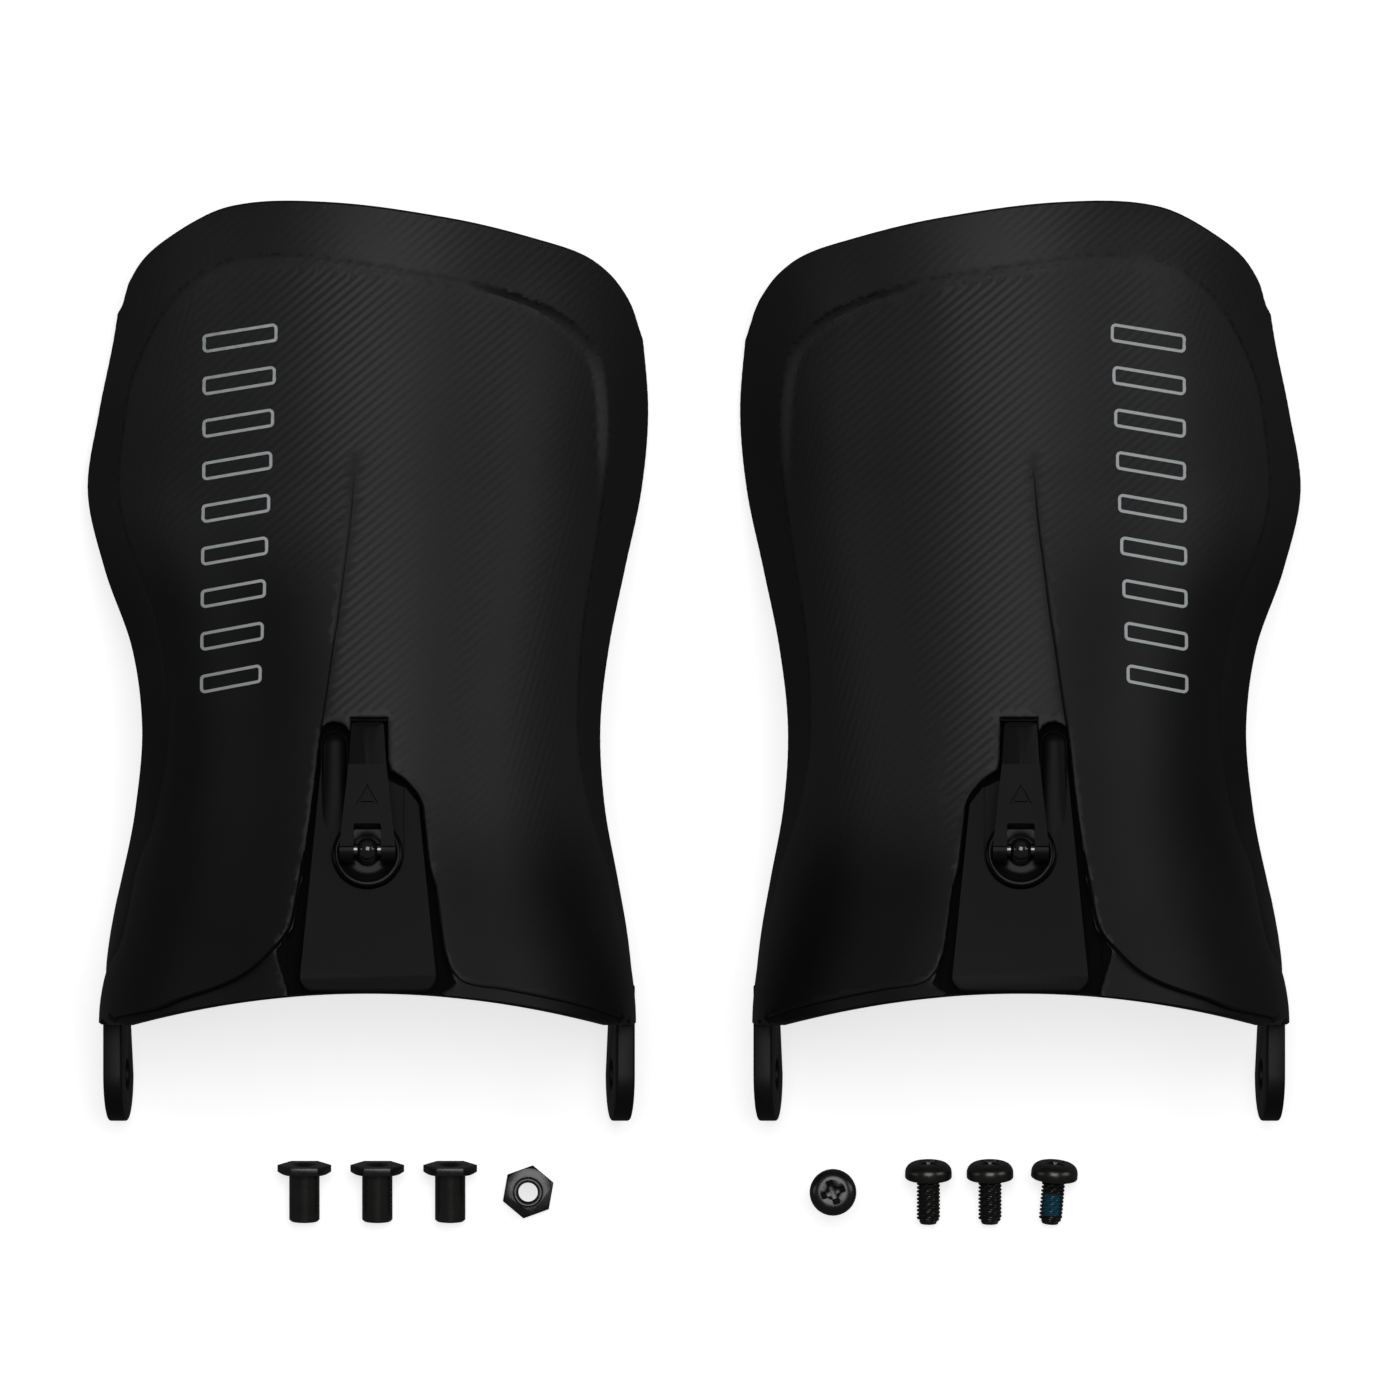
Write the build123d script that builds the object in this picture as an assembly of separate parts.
"""Pair of snowboard-binding highbacks with their loose fasteners, lying on a flat surface.

Each highback lies with its hollow side down. X runs across the pair, Y runs from the ears to the
upper rim, and Z is up. A highback is drawn in its own frame (Y = 0 on the ear bores, X = 0 on the
spine, Z = 0 on the surface), and the right one is the mirror image of the left one.
"""
import math
import os

from build123d import *

# ---------------------------------------------------------------- overall sizes of a highback (mm)
SHELL_LENGTH = 223.3        # ear bore axis to the top of the rim
SHELL_WIDTH = 145.0         # widest point of the wings
SPINE_HIGH = 92.0           # spine above the surface at the ears
SPINE_LOW = 41.0            # spine above the surface at the upper rim
GUARD_SPACING = SHELL_WIDTH + 21.6      # spine to spine
WALL = 3.0                  # moulded wall

# ---------------------------------------------------------------- ears
EAR_RADIUS = 12.0
EAR_THICK = 4.8
EAR_REACH = 23.0            # how far the ear runs up the side wall from its bore
EAR_TOE_IN = 7.0            # degrees
EAR_ROOT = 0.3              # how far its front edge has run in at its upper end, as a share
EAR_BORE_RADIUS = 4.0
EAR_SPAN = SHELL_WIDTH - 8.6    # outside to outside, at the top edge of the ears

# ---------------------------------------------------------------- lean adjuster
BOLT_UP = 57.0              # ear bore axis to the clamp bolt, along Y
LEAN_TRAVEL = 18.0
BLOCK_THICK = 3.2
BLOCK_BOTTOM_WIDTH = 35.6
BLOCK_TOP_WIDTH = 26.0
BLOCK_BELOW = 35.2          # bolt to the bearing edge
BLOCK_ABOVE = 13.0          # bolt to the shoulder on the inner side
BLOCK_HORN = 32.0           # bolt to the top of the round horn beside the lever
BLOCK_SHOULDER = [(3.5, 4.5), (7.5, 6.5)]   # its corners, in from the side and up
HORN_RADIUS = 3.4
HORN_X = -8.5
CHANNEL_DEPTH = 4.6
CHANNEL_FLOOR = 3.2         # floor left under the channel
CHANNEL_GAP = 1.0           # round the block
CHANNEL_ROOM = 3.0          # spare length past the block's upper end
TIP_GAP = 1.2               # round the lever's tip
CHANNEL_MARGIN = 3.0        # thick shell round the channel
CHANNEL_ANGLE = 26.0        # degrees each side of the spine with a thick shell
SLIDE_GAP = 0.3             # under the block, and over the backing plate
SEAT_GAP = 0.4              # round the disc
BOLT_RADIUS = 2.5
SLOT_GAP = 0.6              # bolt to slot wall
SLOT_ROOM = 1.5             # spare length past the bolt at each end of its travel
EYE_RADIUS = 3.0
PIN_RADIUS = 1.5
PIN_GAP = 0.05              # lever bore over its pin, on the radius
DISC_RADIUS = 9.0
DISC_THICK = 3.0           # lifts the lever clear of the skin
DISC_BEVEL = 0.6
BOLT_TAIL = 1.2             # bolt standing out of its nut
PIN_INSET = 0.4             # pin ends sunk in the lever's arms
TIP_BEVEL = 1.8
PLATE_CORNER = 3.0
NUT_GAP = 0.05
ARM_RADIUS = 3.0            # round end of the lever's arms
ARM_GAP = 0.2               # arms to the disc
LEVER_LENGTH = 33.4         # pin to tip
LEVER_ROOT_WIDTH = 14.2
LEVER_TIP_WIDTH = 8.1
LEVER_ROOT_THICK = 7.4
LEVER_TIP_THICK = 4.6
NOTCH_WIDTH = 7.0
NOTCH_LENGTH = 6.0
PLATE_WIDTH = 22.0
PLATE_LENGTH = 26.0
PLATE_THICK = 3.6
NUT_FLATS = 8.0
NUT_THICK = 2.6

# ---------------------------------------------------------------- calf pad
PAD_THICK = 5.0
PAD_GAP = 0.5
PAD_ROWS = slice(6, 11)     # the STATIONS that it lies on
PAD_REACH = 50.0            # degrees each side of the spine

# ---------------------------------------------------------------- fasteners
TNUT_FLATS = 12.0
TNUT_FLANGE = 2.2
TNUT_TAPER = 0.7
TNUT_LENGTH = 14.6
TNUT_GAP = 0.1              # barrel in the ear bore, on the radius
THREAD_RADIUS = 3.0         # M6
THREAD_BORE_RADIUS = 2.5
SCREW_HEAD_RADIUS = 6.0
SCREW_HEAD_HEIGHT = 4.2
SCREW_HEAD_ROUND = 2.6
SCREW_LENGTH = 16.0         # with its head
SCREW_POINT = 0.9
RECESS_SPAN = 6.6
RECESS_SLOT = 1.5
RECESS_DEPTH = 2.6
FASTENER_ROW = -30.3        # centre of the row, from the ear bores
UPRIGHT_TURN = 20.0         # degrees that the two upright fasteners are turned
NUT_TURNS = [0.0, 0.0, 0.0]
SCREW_TURNS = [0.0, 0.0, 0.0, -5.0]
TNUT_X = [-100.0, -81.3, -62.6, -42.6]
SCREW_X = [35.6, 60.1, 75.9, 92.4]

# Shape of the shell: share of the length, outer and inner half width as a share of the full
# width, front edge above the surface and depth of the section's ellipse in mm.
STATIONS = [
    (0.030, 0.470, 0.470, 4.0, 68.0),
    (0.085, 0.470, 0.469, 7.0, 69.0),
    (0.150, 0.456, 0.458, 12.0, 71.0),
    (0.223, 0.433, 0.440, 18.0, 74.0),
    (0.310, 0.408, 0.417, 24.0, 76.0),
    (0.400, 0.398, 0.410, 27.0, 77.0),
    (0.490, 0.417, 0.425, 24.0, 79.0),
    (0.580, 0.467, 0.453, 16.0, 82.0),
    (0.670, 0.499, 0.482, 7.5, 86.0),
    (0.760, 0.480, 0.494, 3.0, 88.0),
    (0.850, 0.452, 0.484, 3.5, 86.0),
    (0.930, 0.436, 0.472, 6.0, 82.0),
    (1.020, 0.430, 0.465, 9.0, 78.0),
]
SECTION_SQUARENESS = 0.14
RIM_FLARE = 3.2             # how far the rim's edge stands out of the panel's curve
RIM_WIDTH = 0.17            # share of the section's angle taken by the rim
RIM_START = 0.14            # share of the length where the flare begins
RIM_GROWTH = 0.40           # share of the length over which it grows
RIM_TOP = 0.935             # share of the length where the top rim's flare begins
RIM_LIMIT = 1.5             # most that the side and top flares add up to, in RIM_FLARE
SECTION_STEPS = 9

# Raised wing: its edge as shares of the full width and of the length, from tip to foot.
WING_EDGE = [
    (-0.018, 0.710), (-0.038, 0.590), (-0.071, 0.434), (-0.097, 0.290), (-0.128, 0.180),
    (-0.160, 0.145), (-0.206, 0.118), (-0.255, 0.102), (-0.320, 0.088), (-0.400, 0.072),
]
WING_FOOT, WING_TIP = 0.055, 0.700          # the wing's two ends, as shares of the length
WING_FOOT_X, WING_TIP_X = -0.124, -0.006    # clear of its edge, as shares of the width
WING_STEPS = 9
WING_RAISE = 2.0
WING_BURY = 1.2             # how deep its far side dips under the skin
WING_ROOT = 0.6             # share of the wall that its underside lies in
WING_FULLNESS = 0.6         # power of its rise from the rim to its edge
WING_FADE = 3               # power of its fall from foot to tip
SIDE_CLEAR = 0.6            # clear of a highback's side, as a share of the full width

# Upper outline as shares of the full width and of the length, from side to side.
TOP_OUTLINE = [
    (-0.520, 0.856), (-0.440, 0.879), (-0.414, 0.912), (-0.348, 0.9575), (-0.2455, 0.9955),
    (-0.070, 1.000), (0.1434, 0.9816), (0.2848, 0.9588), (0.380, 0.935), (0.449, 0.889),
    (0.478, 0.853), (0.520, 0.810),
]
ARCH_SHARE = 0.43           # end of the arch, as a share of the full width
ARCH_EDGE = 12.8            # lower edge at the ears
ARCH_RISE = 8.2             # how much higher it is at the spine


def smooth(rows: list, column: int, t: float) -> float:
    """Cubic curve through one column of a table, at share t of the length."""
    last = len(rows) - 1
    k = max(0, min(last - 1, sum(1 for row in rows if row[0] <= t) - 1))
    x0, x1 = rows[k][0], rows[k + 1][0]
    y0, y1 = rows[k][column], rows[k + 1][column]
    before, after = rows[max(k - 1, 0)], rows[min(k + 2, last)]
    m0 = (y1 - before[column]) / (x1 - before[0])
    m1 = (after[column] - y0) / (after[0] - x0)
    u = (t - x0) / (x1 - x0)
    h = x1 - x0
    return (
        (2 * u**3 - 3 * u**2 + 1) * y0 + (u**3 - 2 * u**2 + u) * h * m0
        + (3 * u**2 - 2 * u**3) * y1 + (u**3 - u**2) * h * m1
    )


# ---------------------------------------------------------------- the shell's curved skin
SPINE_SLOPE = (SPINE_HIGH - SPINE_LOW) / SHELL_LENGTH
SPINE_TILT = math.degrees(math.atan(SPINE_SLOPE))
LEFT, RIGHT = 1, 2          # columns of STATIONS with the half widths


def spine_height(y: float) -> float:
    """Height of the spine above the surface."""
    return SPINE_HIGH - y * SPINE_SLOPE


def edge_angle(y: float) -> float:
    """Angle round the section at which the front edge lies."""
    t = y / SHELL_LENGTH
    drop = spine_height(y) - smooth(STATIONS, 3, t)
    return math.acos(1 - drop / smooth(STATIONS, 4, t))


def flare(y: float, angle: float) -> float:
    """How far the rim stands out of the panel's curve."""
    share = abs(angle) / edge_angle(y)
    side = max(0.0, (share - 1 + RIM_WIDTH) / RIM_WIDTH)
    growth = min(1.0, max(0.0, y / SHELL_LENGTH - RIM_START) / RIM_GROWTH)
    top = max(0.0, (y / SHELL_LENGTH - RIM_TOP) / (1 - RIM_TOP))
    return RIM_FLARE * min(RIM_LIMIT, growth * side**2 + top**2)


def ellipse_width(y: float, side: int) -> float:
    """Half width of the section's ellipse, so that its edge lies at the wing's half width."""
    turn = min(edge_angle(y), math.pi / 2)
    reach = smooth(STATIONS, side, y / SHELL_LENGTH) * SHELL_WIDTH
    reach -= flare(y, edge_angle(y)) * math.sin(turn)
    return reach / (math.sin(turn) * (1 + SECTION_SQUARENESS * math.cos(turn) ** 2))


def skin_point(y: float, angle: float, offset: float = 0.0) -> Vector:
    """Point of the skin, moved outwards by an offset."""
    width = ellipse_width(y, LEFT if angle < 0 else RIGHT)
    depth = smooth(STATIONS, 4, y / SHELL_LENGTH)
    s, c = math.sin(angle), math.cos(angle)
    x = width * s * (1 + SECTION_SQUARENESS * c * c)
    z = spine_height(y) - depth * (1 - c)
    across = width * c * (1 + SECTION_SQUARENESS * (c * c - 2 * s * s))
    normal = Vector(depth * s, 0, across).normalized()
    return Vector(x, y, z) + normal * (offset + flare(y, angle))


def angle_at(x: float, y: float) -> float:
    """Angle round the section at which the skin has a given x."""
    low, high = -math.pi / 2, math.pi / 2
    for _ in range(40):
        middle = (low + high) / 2
        if skin_point(y, middle).X < x:
            low = middle
        else:
            high = middle
    return (low + high) / 2


def band(heights: list, span, outer, inner) -> Part:
    """Solid between two offsets of the skin.

    span(y) gives the two end angles, outer(y, share) and inner(y, share) the offsets.
    """
    faces = []
    for y in heights:
        low, high = span(y)
        shares = [k / (2 * SECTION_STEPS) for k in range(2 * SECTION_STEPS + 1)]
        angles = [low + (high - low) * share for share in shares]
        over = [skin_point(y, a, outer(y, s)) for a, s in zip(angles, shares)]
        under = [skin_point(y, a, inner(y, s)) for a, s in zip(angles, shares)]
        edges = [
            Edge.make_spline(over),
            Edge.make_line(over[-1], under[-1]),
            Edge.make_spline(under[::-1]),
            Edge.make_line(under[0], over[0]),
        ]
        faces.append(Face(Wire(edges)))
    return loft(faces)


def full_span(y: float) -> tuple:
    """Both front edges."""
    return -edge_angle(y), edge_angle(y)


def prism(face: Face, low: float, high: float) -> Part:
    """Upright prism over a face drawn at Z = 0."""
    return Pos(0, 0, low) * extrude(face, high - low, dir=(0, 0, 1))


# ---------------------------------------------------------------- mechanism frame on the spine
SPINE = Plane(
    origin=(0, BOLT_UP, spine_height(BOLT_UP)),
    x_dir=(1, 0, 0),
    z_dir=(0, math.sin(math.radians(SPINE_TILT)), math.cos(math.radians(SPINE_TILT))),
)
CHANNEL_LEVEL = -CHANNEL_DEPTH
BLOCK_LOW = CHANNEL_LEVEL + SLIDE_GAP
BLOCK_HIGH = BLOCK_LOW + BLOCK_THICK
RECESS_LEVEL = BLOCK_LOW + BLOCK_THICK / 2
DISC_HIGH = RECESS_LEVEL + DISC_THICK
PIN_LEVEL = DISC_HIGH + ARM_GAP + ARM_RADIUS
PLATE_HIGH = CHANNEL_LEVEL - CHANNEL_FLOOR - SLIDE_GAP
PLATE_LOW = PLATE_HIGH - PLATE_THICK


def block_outline() -> Sketch:
    """Plan of the lean block: a trapezoid with a sloped shoulder and a round horn."""
    bottom, top = BLOCK_BOTTOM_WIDTH / 2, BLOCK_TOP_WIDTH / 2
    horn_left = HORN_X - HORN_RADIUS
    horn_right = HORN_X + HORN_RADIUS
    waist = BLOCK_HORN - HORN_RADIUS
    shoulder = [(top - across, BLOCK_ABOVE + up) for across, up in BLOCK_SHOULDER]
    body = Polygon(
        (-bottom, -BLOCK_BELOW), (bottom, -BLOCK_BELOW), (top, BLOCK_ABOVE), *shoulder,
        (horn_right, shoulder[-1][1]), (horn_right, waist), (horn_left, waist), align=None,
    )
    return body + Pos(HORN_X, waist) * Circle(HORN_RADIUS)


def straight_slot(width: float, low: float, high: float) -> Sketch:
    """Slot along the spine, with round ends centred at low and high."""
    middle = Pos(0, (low + high) / 2) * Rectangle(width, high - low)
    return middle + Pos(0, low) * Circle(width / 2) + Pos(0, high) * Circle(width / 2)


def on_spine(sketch: Sketch, low: float, high: float) -> Part:
    """Solid over a sketch in the mechanism frame, between two levels."""
    return SPINE * Pos(0, 0, low) * extrude(sketch, high - low)


# ---------------------------------------------------------------- pieces of a highback
def wing_span(y: float) -> tuple:
    """Angles of the raised wing, from the rim's crease to a line clear of its edge."""
    along = (y / SHELL_LENGTH - WING_FOOT) / (WING_TIP - WING_FOOT)
    clear = WING_FOOT_X + (WING_TIP_X - WING_FOOT_X) * along
    return -edge_angle(y) * (1 - RIM_WIDTH), angle_at(clear * SHELL_WIDTH, y)


def wing_outer(y: float, share: float) -> float:
    """Top of the raised wing: full at its edge, under the skin at the rim, level at its tip."""
    rise = 1 - (y / SHELL_LENGTH / WING_TIP) ** WING_FADE
    return (WING_BURY + WING_RAISE * rise) * share**WING_FULLNESS - WING_BURY


def make_wing() -> Part:
    """Raised wing, which stands on the shell's skin."""
    steps = [k / (WING_STEPS - 1) for k in range(WING_STEPS)]
    rows = [(WING_FOOT + (WING_TIP - WING_FOOT) * step) * SHELL_LENGTH for step in steps]
    wing = band(rows, wing_span, wing_outer, lambda y, s: -WING_ROOT * WALL)
    edge = [(x * SHELL_WIDTH, y * SHELL_LENGTH) for x, y in WING_EDGE]
    side = -SIDE_CLEAR * SHELL_WIDTH
    path = [edge[-1], (side, edge[-1][1]), (side, edge[0][1]), edge[0]]
    edges = [Edge.make_spline([Vector(*point) for point in edge])]
    edges += [Edge.make_line(a, b) for a, b in zip(path, path[1:])]
    return wing & prism(Face(Wire(edges)), 0, SPINE_HIGH)


def make_outline() -> Part:
    """Prism that trims the top corners and the arch of the lower edge."""
    corner = SIDE_CLEAR * SHELL_WIDTH
    arch_end = ARCH_SHARE * SHELL_WIDTH
    rim = [(x * SHELL_WIDTH, y * SHELL_LENGTH) for x, y in TOP_OUTLINE]
    arch = [(arch_end, ARCH_EDGE), (0, ARCH_EDGE + ARCH_RISE), (-arch_end, ARCH_EDGE)]
    path = [rim[-1], (corner, rim[-1][1]), (corner, ARCH_EDGE), arch[0]]
    back = [arch[2], (-corner, ARCH_EDGE), (-corner, rim[0][1]), rim[0]]
    edges = [Edge.make_spline([Vector(*point) for point in rim])]
    edges += [Edge.make_line(a, b) for a, b in zip(path, path[1:])]
    edges += [Edge.make_three_point_arc(*arch)]
    edges += [Edge.make_line(a, b) for a, b in zip(back, back[1:])]
    return prism(Face(Wire(edges)), -SPINE_HIGH, 2 * SPINE_HIGH)


def ear_plane(side: int) -> Plane:
    """Outer face of an ear on its bore's axis, local Z pointing out of the shell."""
    lean = math.radians(EAR_TOE_IN)
    out = (side * math.cos(lean), 0, -math.sin(lean))
    top = EAR_SPAN / 2
    x = side * (top - EAR_RADIUS * math.tan(lean))
    return Plane(origin=(x, 0, EAR_RADIUS * math.cos(lean)), x_dir=(0, 1, 0), z_dir=out)


def make_ear(side: int) -> Part:
    """Flat ear with its round end about the bore."""
    low, high = -side * EAR_RADIUS, side * EAR_RADIUS
    corners = [(0, low), (EAR_REACH, EAR_ROOT * low), (EAR_REACH, high), (0, high)]
    plate = Circle(EAR_RADIUS) + Polygon(*corners[::side], align=None)
    return ear_plane(side) * Pos(0, 0, -EAR_THICK) * extrude(plate, EAR_THICK)


def make_bore(side: int) -> Part:
    """Bore of an ear, run through past both faces."""
    return ear_plane(side) * Pos(0, 0, -EAR_THICK) * Cylinder(EAR_BORE_RADIUS, 4 * EAR_THICK)


def make_channel() -> Part:
    """Pocket for the lean block and the lever's tip, open at the lower edge."""
    bottom = BLOCK_BOTTOM_WIDTH / 2 + CHANNEL_GAP
    plan = offset(block_outline(), CHANNEL_GAP)
    plan += Pos(0, CHANNEL_ROOM) * offset(block_outline(), CHANNEL_GAP)
    plan += Pos(0, -BLOCK_BELOW) * Rectangle(2 * bottom, 2 * BLOCK_BELOW / 3)
    tip = LEVER_LENGTH + TIP_GAP
    plan += Pos(0, tip / 2) * Rectangle(LEVER_TIP_WIDTH + 2 * TIP_GAP, tip)
    return on_spine(plan, CHANNEL_LEVEL, CHANNEL_DEPTH)


def make_shell() -> Part:
    """Shell with its rim, raised wing, channel, slot and ears."""
    heights = [row[0] * SHELL_LENGTH for row in STATIONS]
    shell = band(heights, full_span, lambda y, s: 0.0, lambda y, s: -WALL)

    shell += make_wing()

    low, high = -BLOCK_BELOW - CHANNEL_MARGIN, LEVER_LENGTH + CHANNEL_MARGIN
    width = BLOCK_BOTTOM_WIDTH + 2 * CHANNEL_MARGIN
    rows = [BOLT_UP + low - CHANNEL_MARGIN, BOLT_UP, BOLT_UP + high + CHANNEL_MARGIN]
    half = CHANNEL_ANGLE * math.pi / 180
    deep = CHANNEL_DEPTH + CHANNEL_FLOOR
    core = band(rows, lambda y: (-half, half), lambda y, s: -WALL / 2, lambda y, s: -2 * deep)
    frame = Pos(0, (low + high) / 2) * Rectangle(width, high - low)
    shell += core & on_spine(frame, -deep, deep)

    shell -= make_channel()
    shell &= make_outline()
    shell += [make_ear(side) for side in (-1, 1)]
    shell -= [make_bore(side) for side in (-1, 1)]
    slot = straight_slot(2 * (BOLT_RADIUS + SLOT_GAP), -LEAN_TRAVEL - SLOT_ROOM, SLOT_ROOM)
    return shell - on_spine(slot, -3 * deep, deep)


def make_calf_pad() -> Part:
    """Foam pad that follows the inside of the shell."""
    rows = [row[0] * SHELL_LENGTH for row in STATIONS[PAD_ROWS]]
    half = math.radians(PAD_REACH)
    top = -WALL - PAD_GAP
    return band(rows, lambda y: (-half, half), lambda y, s: top, lambda y, s: top - PAD_THICK)


def make_lean_block() -> Part:
    """Slider plate with a sunk seat for the disc and the lever."""
    block = on_spine(block_outline(), BLOCK_LOW, BLOCK_HIGH)
    seat = DISC_RADIUS + SEAT_GAP
    plan = Circle(seat) + Pos(0, BLOCK_HORN / 2) * Rectangle(2 * seat, BLOCK_HORN)
    plan -= Pos(HORN_X, BLOCK_HORN) * Rectangle(2 * HORN_RADIUS, 2 * BLOCK_HORN - 2 * BLOCK_ABOVE)
    block -= on_spine(plan, RECESS_LEVEL, CHANNEL_DEPTH)
    return block - on_spine(Circle(BOLT_RADIUS + PIN_GAP), -2 * CHANNEL_DEPTH, CHANNEL_DEPTH)


def make_cam_washer() -> Part:
    """Disc that the lever's arms press on, with a bevelled rim and the bolt's hole."""
    disc = Pos(0, 0, DISC_THICK / 2) * Cylinder(DISC_RADIUS, DISC_THICK)
    disc = chamfer(disc.edges().group_by(Axis.Z)[-1], DISC_BEVEL)
    disc -= Cylinder(BOLT_RADIUS + PIN_GAP, 4 * DISC_THICK)
    return SPINE * Pos(0, 0, RECESS_LEVEL) * disc


def cross_pin(radius: float, length: float) -> Part:
    """Round bar across the guard on the lever's hinge line."""
    return SPINE * Pos(0, 0, PIN_LEVEL) * Rot(0, 90, 0) * Cylinder(radius, length)


def make_clamp_bolt() -> Part:
    """Bolt with a round eye for the barrel pin."""
    bolt = on_spine(Circle(BOLT_RADIUS), PLATE_LOW - BOLT_TAIL, PIN_LEVEL)
    bolt += SPINE * Pos(0, 0, PIN_LEVEL) * Sphere(EYE_RADIUS)
    return bolt - cross_pin(PIN_RADIUS, 4 * EYE_RADIUS)


def make_barrel_pin() -> Part:
    """Pin through the bolt's eye and the lever's arms."""
    return cross_pin(PIN_RADIUS, LEVER_ROOT_WIDTH - 2 * PIN_INSET)


def make_cam_lever() -> Part:
    """Tapered tongue with two round-ended arms astride the bolt's eye."""
    root, tip = LEVER_ROOT_WIDTH / 2, LEVER_TIP_WIDTH / 2
    under = PIN_LEVEL - ARM_RADIUS
    side = Polygon(
        (0, under), (LEVER_LENGTH, under), (LEVER_LENGTH, under + LEVER_TIP_THICK - TIP_BEVEL),
        (LEVER_LENGTH - TIP_BEVEL, under + LEVER_TIP_THICK), (0, under + LEVER_ROOT_THICK),
        align=None,
    )
    side += Pos(0, PIN_LEVEL) * Circle(ARM_RADIUS)
    profile = SPINE * Plane(origin=(root, 0, 0), x_dir=(0, 1, 0), z_dir=(1, 0, 0)) * side
    lever = extrude(profile, 2 * root, dir=(-1, 0, 0))
    plan = Polygon(
        (-root, -ARM_RADIUS), (root, -ARM_RADIUS), (root, 0), (tip, LEVER_LENGTH),
        (-tip, LEVER_LENGTH), (-root, 0), align=None,
    )
    lever &= on_spine(plan, under - 1, under + 2 * LEVER_ROOT_THICK)
    notch = Pos(0, (NOTCH_LENGTH - ARM_RADIUS) / 2 - 1)
    notch *= Rectangle(NOTCH_WIDTH, NOTCH_LENGTH + ARM_RADIUS + 2)
    lever -= on_spine(notch, under - 1, under + 2 * LEVER_ROOT_THICK)
    return lever - cross_pin(PIN_RADIUS + PIN_GAP, 2 * LEVER_ROOT_WIDTH)


def make_backing_plate() -> Part:
    """Plate inside the shell that the bolt pulls against, with a pocket for its nut."""
    plan = RectangleRounded(PLATE_WIDTH, PLATE_LENGTH, PLATE_CORNER)
    plate = on_spine(plan, PLATE_LOW, PLATE_HIGH)
    pocket = RegularPolygon(NUT_FLATS / 2 + NUT_GAP, 6, major_radius=False)
    plate -= on_spine(pocket, PLATE_LOW - 1, PLATE_LOW + NUT_THICK)
    return plate - on_spine(Circle(BOLT_RADIUS + PIN_GAP), PLATE_LOW - 1, PLATE_HIGH + 1)


def make_clamp_nut() -> Part:
    """Hexagon nut in the backing plate."""
    nut = RegularPolygon(NUT_FLATS / 2, 6, major_radius=False) - Circle(BOLT_RADIUS)
    return on_spine(nut, PLATE_LOW, PLATE_LOW + NUT_THICK)


# ---------------------------------------------------------------- loose fasteners
def make_tnut() -> Part:
    """Sleeve nut standing on its hexagon flange, open right through."""
    flange = extrude(RegularPolygon(TNUT_FLATS / 2, 6, major_radius=False), TNUT_FLANGE)
    flange = chamfer(flange.edges().group_by(Axis.Z)[-1], TNUT_TAPER)
    barrel_radius = EAR_BORE_RADIUS - TNUT_GAP
    barrel = Pos(0, 0, TNUT_LENGTH / 2) * Cylinder(barrel_radius, TNUT_LENGTH)
    barrel = chamfer(barrel.edges().group_by(Axis.Z)[-1], TNUT_TAPER / 2)
    return flange + barrel - Cylinder(THREAD_BORE_RADIUS, 4 * TNUT_LENGTH)


def make_screw() -> Part:
    """Pan-head screw standing on its point, with a cross recess."""
    shank = SCREW_LENGTH - SCREW_HEAD_HEIGHT
    stem = Pos(0, 0, SCREW_LENGTH / 2) * Cylinder(THREAD_RADIUS, SCREW_LENGTH)
    stem = chamfer(stem.edges().group_by(Axis.Z)[0], SCREW_POINT)
    head = Pos(0, 0, shank + SCREW_HEAD_HEIGHT / 2) * Cylinder(SCREW_HEAD_RADIUS, SCREW_HEAD_HEIGHT)
    head = fillet(head.edges().group_by(Axis.Z)[-1], SCREW_HEAD_ROUND)
    recess = Rectangle(RECESS_SPAN, RECESS_SLOT) + Rectangle(RECESS_SLOT, RECESS_SPAN)
    stem = split(stem, Plane.XY.offset(shank + SCREW_HEAD_HEIGHT / 2), keep=Keep.BOTTOM)
    screw = head + stem
    return screw - Pos(0, 0, SCREW_LENGTH - RECESS_DEPTH) * extrude(recess, RECESS_DEPTH)


def lay_down(piece: Part, quarter: float, tilt: float, turn: float, x: float) -> Part:
    """Fastener on its side in the row, tilted to rest on its head's rim and its far end."""
    piece = Rot(0, 0, turn) * Rot(quarter + tilt, 0, 0) * piece
    box = piece.bounding_box()
    return Pos(x - box.center().X, FASTENER_ROW - box.center().Y, -box.min.Z) * piece


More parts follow.
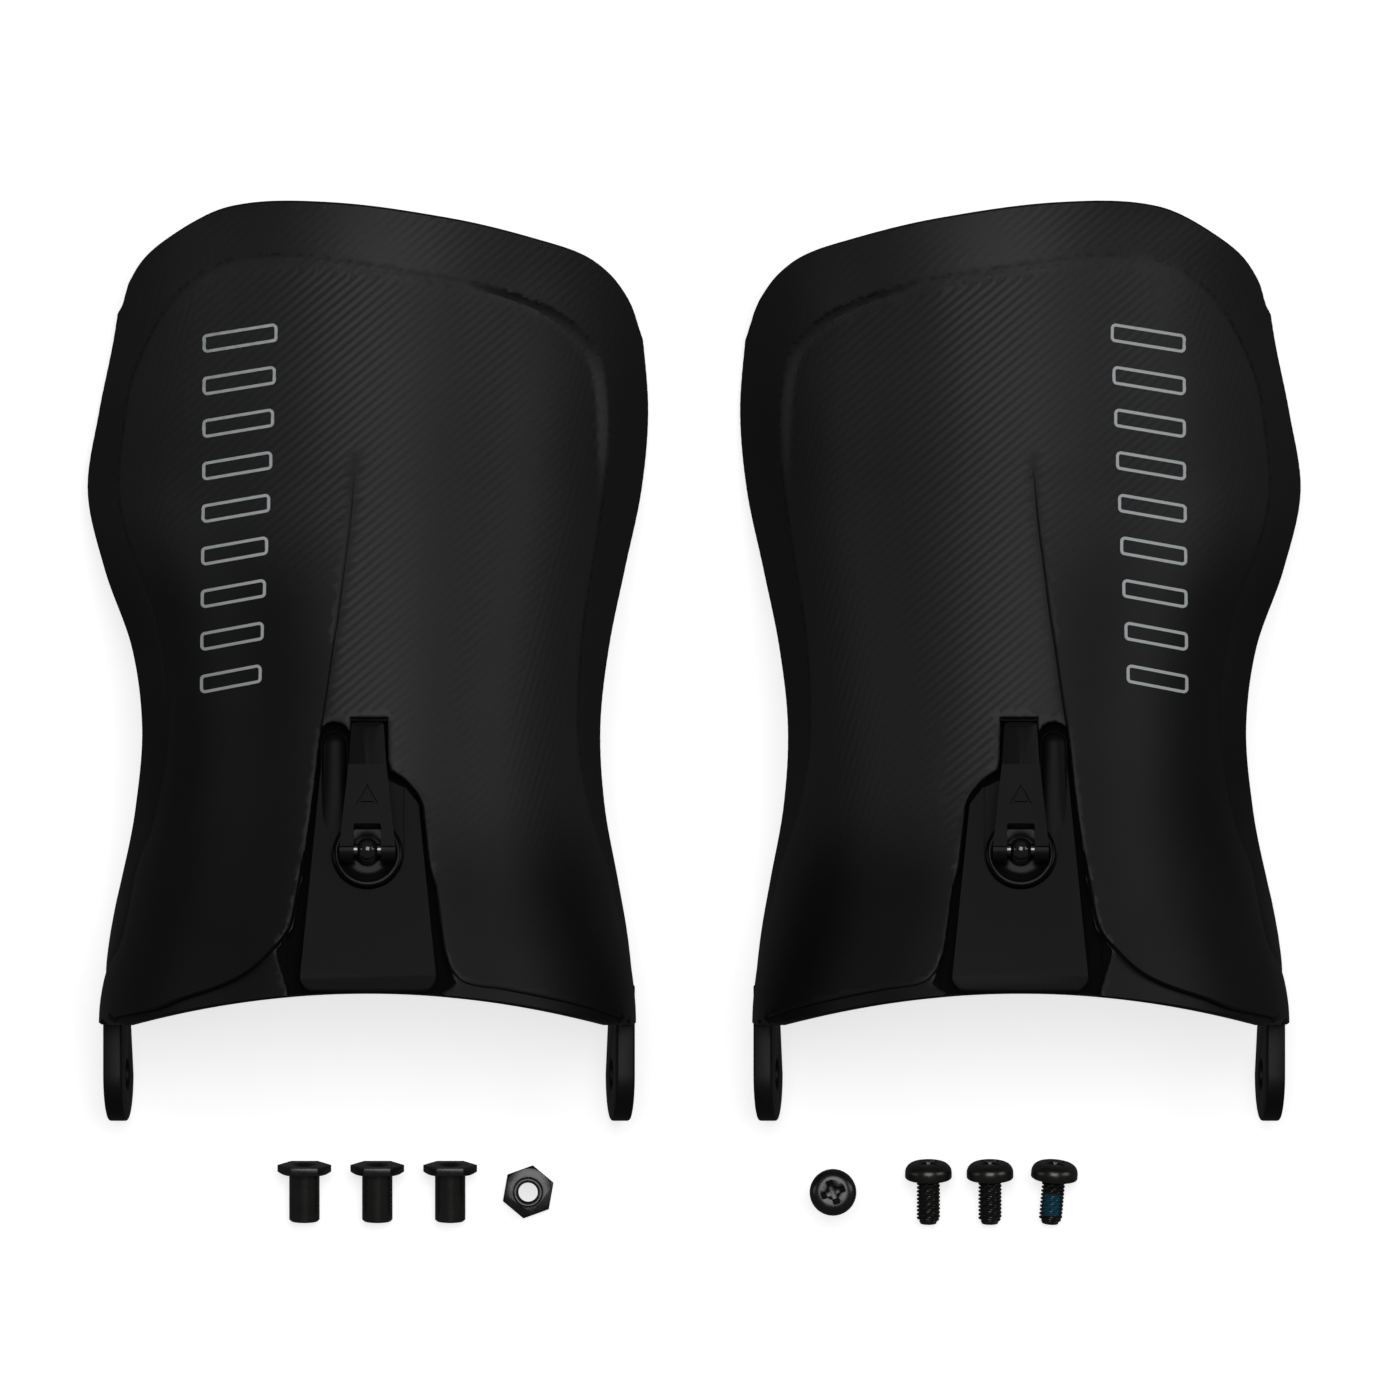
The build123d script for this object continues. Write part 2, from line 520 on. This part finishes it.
def make_fasteners() -> dict:
    """Four sleeve nuts and four screws in a row in front of the highbacks."""
    pieces = {}
    drop = TNUT_FLATS / 2 - (EAR_BORE_RADIUS - TNUT_GAP)
    run = TNUT_LENGTH - TNUT_FLANGE + TNUT_TAPER - TNUT_TAPER / 2
    nut_tilt = math.degrees(math.atan2(drop, run))
    for k, x in enumerate(TNUT_X):
        nut = make_tnut()
        if k == len(TNUT_X) - 1:
            nut = Pos(x, FASTENER_ROW, 0) * Rot(0, 0, UPRIGHT_TURN) * nut
        else:
            nut = lay_down(nut, 90, nut_tilt, NUT_TURNS[k], x)
        pieces[f"tnut_{k + 1}"] = nut
    run = SCREW_LENGTH - SCREW_HEAD_ROUND - SCREW_POINT
    screw_tilt = math.degrees(math.atan2(SCREW_HEAD_RADIUS - THREAD_RADIUS, run))
    for k, x in enumerate(SCREW_X):
        screw = make_screw()
        if k == 0:
            screw = Pos(x, FASTENER_ROW, 0) * Rot(0, 0, UPRIGHT_TURN) * screw
        else:
            screw = lay_down(Rot(0, 0, 45) * screw, -90, screw_tilt, SCREW_TURNS[k], x)
        pieces[f"screw_{k + 1}"] = screw
    return pieces


# ---------------------------------------------------------------- the whole kit
MAKERS = {
    "shell": make_shell,
    "calf_pad": make_calf_pad,
    "lean_block": make_lean_block,
    "cam_washer": make_cam_washer,
    "clamp_bolt": make_clamp_bolt,
    "barrel_pin": make_barrel_pin,
    "cam_lever": make_cam_lever,
    "backing_plate": make_backing_plate,
    "clamp_nut": make_clamp_nut,
}


def main() -> None:
    """Build every piece, centre the kit over its origin and write the parts."""
    nodes = {}
    for name, make in MAKERS.items():
        piece = Pos(-GUARD_SPACING / 2, 0, 0) * make()
        nodes[f"left_{name}"] = piece
        nodes[f"right_{name}"] = mirror(piece, about=Plane.YZ)
    nodes.update(make_fasteners())

    boxes = [piece.bounding_box() for piece in nodes.values()]
    low, high = min(box.min.Y for box in boxes), max(box.max.Y for box in boxes)
    to_centre = Pos(0, -(low + high) / 2, 0)
    os.makedirs("parts", exist_ok=True)
    for name, piece in nodes.items():
        export_step(to_centre * piece, f"parts/{name}.step")
    print(f"the ear bores lie at Y = {-(low + high) / 2:.4f}")
    print(f"spine tilt {SPINE_TILT:.4f} degrees")
    pin = SPINE.origin + SPINE.z_dir * PIN_LEVEL
    print(f"hinge line at Y = {pin.Y - (low + high) / 2:.4f}, Z = {pin.Z:.4f}")


if __name__ == "__main__":
    main()
